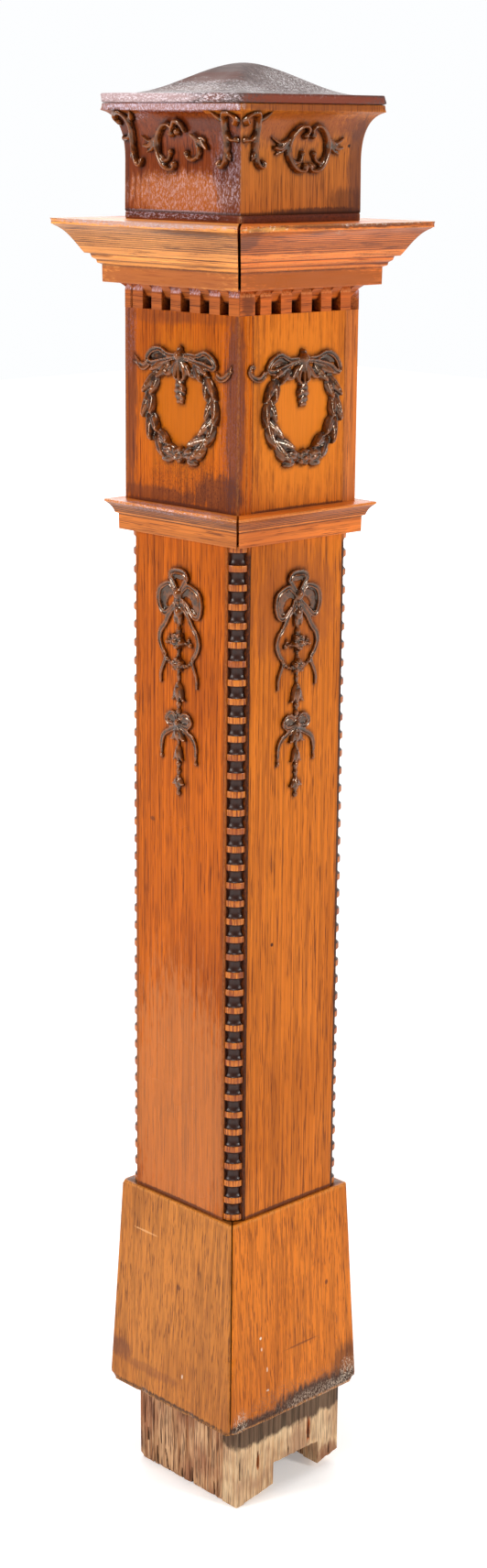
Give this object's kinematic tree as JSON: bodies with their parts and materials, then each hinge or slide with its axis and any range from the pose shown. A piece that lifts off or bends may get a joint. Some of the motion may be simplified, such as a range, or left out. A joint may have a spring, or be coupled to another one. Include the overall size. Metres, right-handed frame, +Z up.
{
  "type": "newel post",
  "caption": "Square hollow wooden newel post with turned corner rods, dentil cornice, coved cap, domed lid and applied wreath, bow and scroll ornaments.",
  "frame": {"origin": "on the floor under the middle of the post", "axes": "+Z up, -Y the front face and +X the right face of the picture, +Y the plain back"},
  "size_m": [0.251, 0.251, 1.388],
  "materials": {
    "post_oak": "aged glossy varnish on orange-brown oak with straight dark pores",
    "rod_oak": "varnished turned wood, amber bands and nearly black coves",
    "cap_oak": "aged varnish on redder brown oak, whitish wear on the lid",
    "foot_wood": "raw weathered wood, split and stained",
    "ornament": "very dark brown cast composition with a glossy varnish"
  },
  "bodies": {
    "root": {"base_board_front": "post_oak", "post_board_front": "post_oak", "corner_rod_front_right": "rod_oak", "necking_front": "post_oak", "dentil_strip_front": "post_oak", "cornice_front": "post_oak", "wreath_front": "ornament", "drop_front": "ornament", "bracket_front_left": "ornament", "bracket_front_right": "ornament", "cap_scroll_front": "ornament", "cap_scroll_front_fragment": "ornament", "base_board_right": "post_oak", "post_board_right": "post_oak", "corner_rod_right_back": "rod_oak", "necking_right": "post_oak", "dentil_strip_right": "post_oak", "cornice_right": "post_oak", "wreath_right": "ornament", "drop_right": "ornament", "bracket_right_front": "ornament", "cap_scroll_right": "ornament", "base_board_back": "post_oak", "post_board_back": "post_oak", "corner_rod_back_left": "rod_oak", "necking_back": "post_oak", "dentil_strip_back": "post_oak", "cornice_back": "post_oak", "base_board_left": "post_oak", "post_board_left": "post_oak", "corner_rod_left_front": "rod_oak", "necking_left": "post_oak", "dentil_strip_left": "post_oak", "cornice_left": "post_oak", "bracket_left_front": "ornament", "foot_board_right": "foot_wood", "foot_board_left": "foot_wood", "foot_board_front": "foot_wood", "foot_board_back": "foot_wood", "cap_base_board": "cap_oak", "cap_board_right": "cap_oak", "cap_board_left": "cap_oak", "cap_board_front": "cap_oak", "cap_board_back": "cap_oak", "lid": "cap_oak"}
  },
  "joints": []
}
